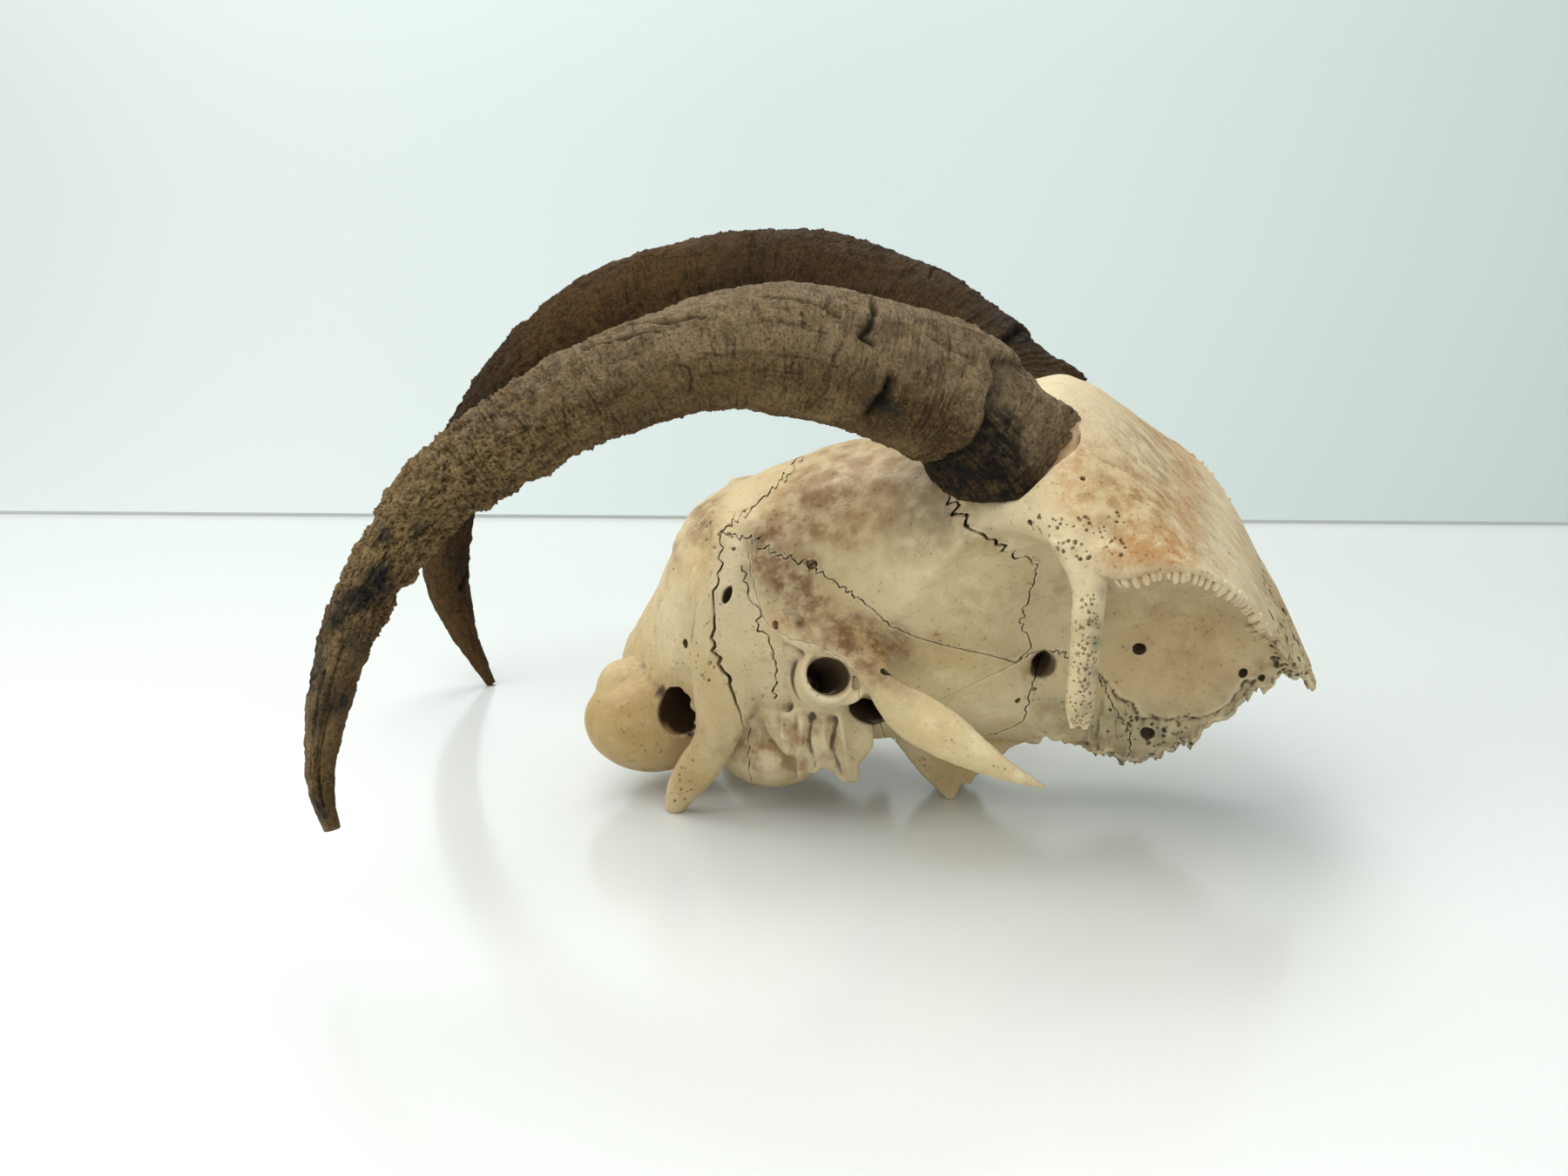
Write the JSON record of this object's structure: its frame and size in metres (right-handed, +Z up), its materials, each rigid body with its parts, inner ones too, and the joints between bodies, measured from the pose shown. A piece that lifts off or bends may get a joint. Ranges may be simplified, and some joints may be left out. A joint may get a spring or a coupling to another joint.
{
  "type": "goat skull",
  "caption": "Braincase and forehead of a goat with both curved horns, face and lower jaw missing, lying tilted on a table.",
  "frame": {"origin": "middle of the model's bounding box, at the level of the table it rests on", "axes": "+X towards the snout end, +Y towards the animal's left side, +Z up from the table"},
  "size_m": [0.2424, 0.1635, 0.1324],
  "materials": {
    "pale_bone": "matte",
    "cream_bone": "matte",
    "stained_bone": "matte",
    "grey_bone": "matte",
    "brown_horn": "matte"
  },
  "bodies": {
    "root": {"frontal_right": "pale_bone", "frontal_left": "pale_bone", "parietal": "cream_bone", "occipital": "cream_bone", "temporal_squama_right": "stained_bone", "temporal_squama_left": "stained_bone", "temporal_petrous_right": "pale_bone", "temporal_petrous_left": "pale_bone", "sphenoid": "cream_bone", "palatine_right": "grey_bone", "palatine_left": "grey_bone", "vomer": "grey_bone", "horn_right": "brown_horn", "horn_left": "brown_horn"}
  },
  "joints": []
}
